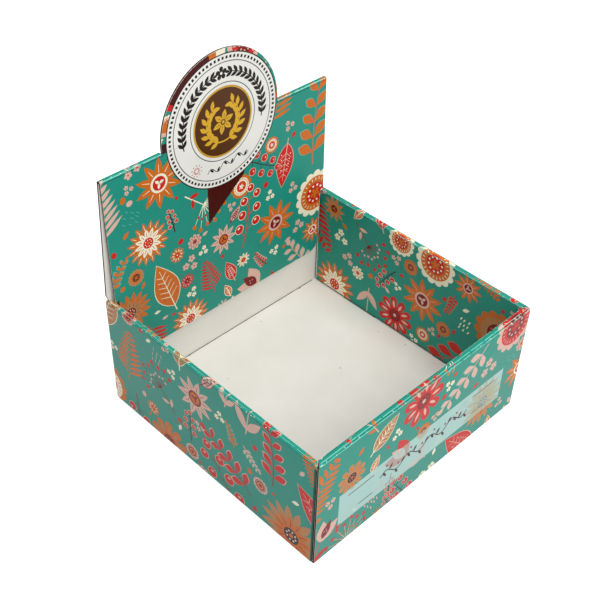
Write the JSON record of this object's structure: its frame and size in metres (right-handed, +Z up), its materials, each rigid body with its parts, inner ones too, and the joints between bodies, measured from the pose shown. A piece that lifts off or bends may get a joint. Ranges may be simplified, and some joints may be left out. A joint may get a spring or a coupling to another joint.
{
  "type": "counter display box",
  "caption": "Square open-topped counter display box of printed fluted board, with roll-over walls and a folded header carrying a round pop-up sign.",
  "frame": {"origin": "centre of the tray's outline at the underside of its floor", "axes": "+X to the right across the width as seen from the front, +Y from the front wall to the header at the back, +Z up"},
  "size_m": [0.2, 0.197, 0.2364],
  "materials": {
    "printed_board": "semi-gloss print on fluted board",
    "printed_header": "semi-gloss print on fluted board"
  },
  "bodies": {
    "folded_tray": {"tray": "printed_board"},
    "front_layer": {"header_flap": "printed_header"}
  },
  "joints": [
    {"name": "header_flap_hinge", "type": "hinge", "parent": "folded_tray", "child": "front_layer", "pos_m": [0, 0.0925, 0.18155], "axis": [-1, 0, 0], "range_deg": [0, 130]}
  ]
}
